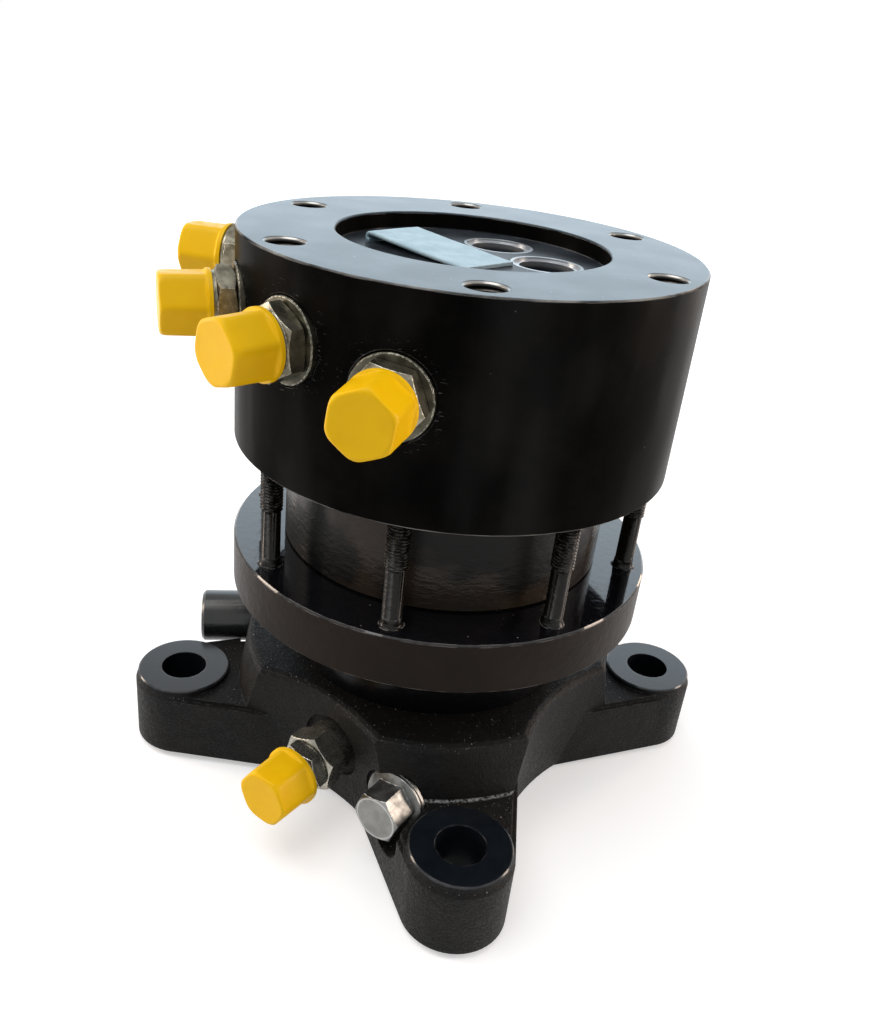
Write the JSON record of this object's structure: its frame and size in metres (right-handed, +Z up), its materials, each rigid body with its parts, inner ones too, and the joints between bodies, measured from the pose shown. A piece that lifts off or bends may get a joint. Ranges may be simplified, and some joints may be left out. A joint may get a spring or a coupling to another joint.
{
  "type": "hydraulic rotator",
  "caption": "Vane-motor rotator: an oil distributor head bolted over a stator ring and flange turns on a four-armed cast foot; capped couplings round the head and on the foot.",
  "frame": {"origin": "centre of the circle of the four lug holes, on the lugs' lower faces", "axes": "+Z up the shaft to the head's bolt face; the four arms lie along +X, -X, +Y and -Y; the foot's coupling points between -X and -Y"},
  "size_m": [0.2974, 0.2974, 0.264],
  "materials": {
    "foot_casting": "rough cast, black paint",
    "shaft_steel": "machined steel, black paint",
    "head_paint": "turned steel, gloss black paint",
    "stack_paint": "turned steel, gloss black paint",
    "flange_paint": "turned steel, gloss black paint",
    "bolt_steel": "blackened steel",
    "ground_steel": "hardened and ground",
    "zinc_plate": "zinc plate",
    "dark_nickel": "dark plate",
    "dark_steel": "oiled black steel",
    "bare_strip": "bare sheet",
    "yellow_plastic": "moulded polyethylene",
    "seal_rubber": "moulded",
    "seal_plastic": "filled slip ring plastic"
  },
  "bodies": {
    "root": {"spider": "foot_casting", "rotor_shaft": "shaft_steel", "shaft_bolts": "bolt_steel", "vane_rotor": "ground_steel", "rotor_keys": "ground_steel", "vanes": "ground_steel", "vane_springs": "ground_steel", "shaft_nut": "shaft_steel", "lower_bearing_inner_race": "ground_steel", "upper_bearing_inner_race": "ground_steel", "foot_coupling": "dark_nickel", "union_nut": "dark_nickel", "foot_ferrule": "zinc_plate", "plug_washer": "zinc_plate", "port_plug": "zinc_plate", "rear_port_fitting": "dark_steel"},
    "turning_stack": {"distributor_head": "head_paint", "swivel_seals": "seal_plastic", "stator_ring": "stack_paint", "stator_o_rings": "seal_rubber", "lower_flange": "flange_paint", "clamp_bolts": "bolt_steel", "dowel_pins": "ground_steel", "shaft_seal": "seal_rubber", "dust_wiper": "seal_rubber", "lower_bearing_outer_race": "ground_steel", "upper_bearing_outer_race": "ground_steel", "recess_strip": "bare_strip", "coupling_1": "zinc_plate", "coupling_washer_1": "zinc_plate", "coupling_2": "zinc_plate", "coupling_washer_2": "zinc_plate", "coupling_3": "zinc_plate", "coupling_washer_3": "zinc_plate", "coupling_4": "zinc_plate", "coupling_washer_4": "zinc_plate"},
    "ball_row": {"lower_bearing_balls": "ground_steel"},
    "roller_row": {"upper_bearing_rollers": "ground_steel"},
    "foot_cap": {"foot_cap": "yellow_plastic"},
    "cap_1": {"cap_1": "yellow_plastic"},
    "cap_2": {"cap_2": "yellow_plastic"},
    "cap_3": {"cap_3": "yellow_plastic"},
    "cap_4": {"cap_4": "yellow_plastic"}
  },
  "joints": [
    {"name": "rotator_turn", "type": "hinge", "parent": "root", "child": "turning_stack", "pos_m": [0, 0, 0], "axis": [0, 0, 1], "continuous": true},
    {"name": "ball_row_turn", "type": "hinge", "parent": "root", "child": "ball_row", "pos_m": [0, 0, 0], "axis": [0, 0, 1], "continuous": true},
    {"name": "roller_row_turn", "type": "hinge", "parent": "root", "child": "roller_row", "pos_m": [0, 0, 0], "axis": [0, 0, 1], "continuous": true},
    {"name": "cap_1_pull", "type": "slide", "parent": "turning_stack", "child": "cap_1", "axis": [-0.9397, 0.342, 0], "range_m": [0, 0.02]},
    {"name": "cap_2_pull", "type": "slide", "parent": "turning_stack", "child": "cap_2", "axis": [-0.9842, -0.1771, 0], "range_m": [0, 0.02]},
    {"name": "cap_3_pull", "type": "slide", "parent": "turning_stack", "child": "cap_3", "axis": [-0.7848, -0.6198, 0], "range_m": [0, 0.02]},
    {"name": "cap_4_pull", "type": "slide", "parent": "turning_stack", "child": "cap_4", "axis": [-0.4099, -0.9121, 0], "range_m": [0, 0.02]},
    {"name": "foot_cap_pull", "type": "slide", "parent": "root", "child": "foot_cap", "axis": [-0.6743, -0.7385, 0], "range_m": [0, 0.02]}
  ],
  "couplings": [
    {"joint": "ball_row_turn", "follows": "rotator_turn", "ratio": 0.5267},
    {"joint": "roller_row_turn", "follows": "rotator_turn", "ratio": 0.5466}
  ]
}
